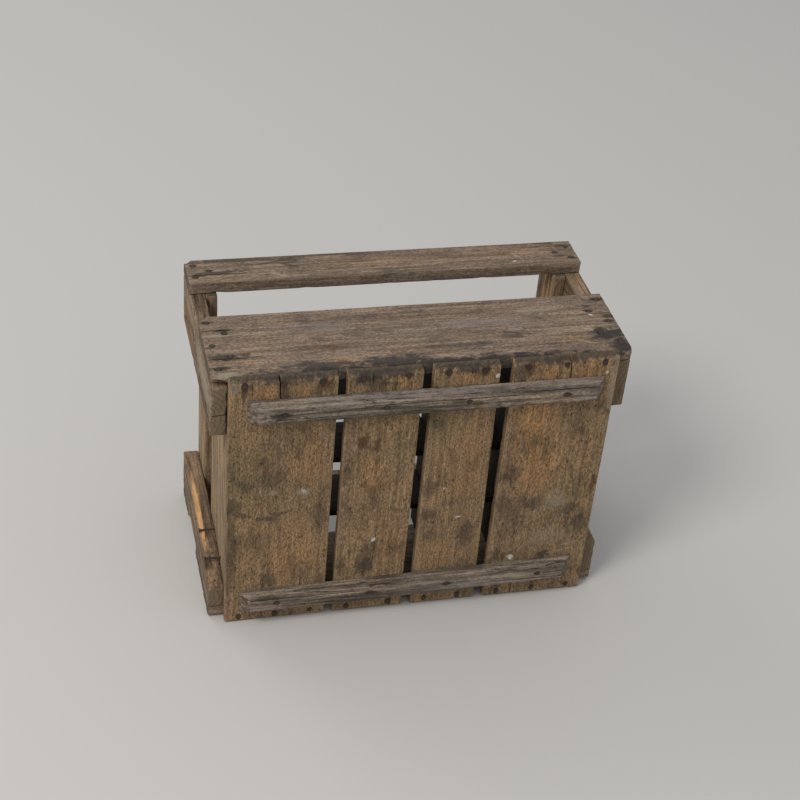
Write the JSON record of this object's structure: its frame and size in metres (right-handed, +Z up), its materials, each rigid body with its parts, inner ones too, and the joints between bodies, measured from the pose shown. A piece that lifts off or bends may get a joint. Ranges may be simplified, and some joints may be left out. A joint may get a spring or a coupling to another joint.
{
  "type": "wooden bottle crate",
  "caption": "Old nailed wooden bottle crate with a gapped board floor, bevelled runners, slatted sides, corner posts, hand holes and a halved lattice of bottle cells, lying on one long side.",
  "frame": {"origin": "bottom centre of the crate's bounding box as it lies on its long side", "axes": "+X along the crate, +Z up across it from the lower long side to the upper one, the floor boards and runners face -Y and the open mouth faces +Y"},
  "size_m": [0.5, 0.275, 0.367],
  "materials": {
    "slat_wood": "weathered bare softwood, grey-brown, worn arrises",
    "floor_wood": "rough sawn softwood, tan, stained and dusty",
    "runner_wood": "bleached grey softwood with open grain",
    "post_wood": "weathered softwood, split and worn at the ends",
    "end_wood": "sawn softwood, warm tan",
    "divider_wood": "thin sawn softwood, brown and dusty",
    "nail_iron": "rusty wire nails"
  },
  "bodies": {
    "root": {"floor_board_1": "floor_wood", "floor_board_2": "floor_wood", "floor_board_3": "floor_wood", "floor_board_4": "floor_wood", "runner_upper": "runner_wood", "runner_lower": "runner_wood", "side_slat_wide_upper": "slat_wood", "side_slat_narrow_upper": "slat_wood", "side_slat_wide_lower": "slat_wood", "side_slat_narrow_lower": "slat_wood", "post_upper_left": "post_wood", "post_upper_right": "post_wood", "post_lower_left": "post_wood", "post_lower_right": "post_wood", "end_board_wide_left": "end_wood", "end_board_narrow_left": "end_wood", "end_board_wide_right": "end_wood", "end_board_narrow_right": "end_wood", "long_divider_1": "divider_wood", "long_divider_2": "divider_wood", "long_divider_3": "divider_wood", "cross_divider_1": "divider_wood", "cross_divider_2": "divider_wood", "cross_divider_3": "divider_wood", "cross_divider_4": "divider_wood", "floor_nails": "nail_iron", "runner_nails": "nail_iron", "side_nails_upper": "nail_iron", "side_nails_lower": "nail_iron", "post_nails": "nail_iron", "divider_brads": "nail_iron"}
  },
  "joints": []
}
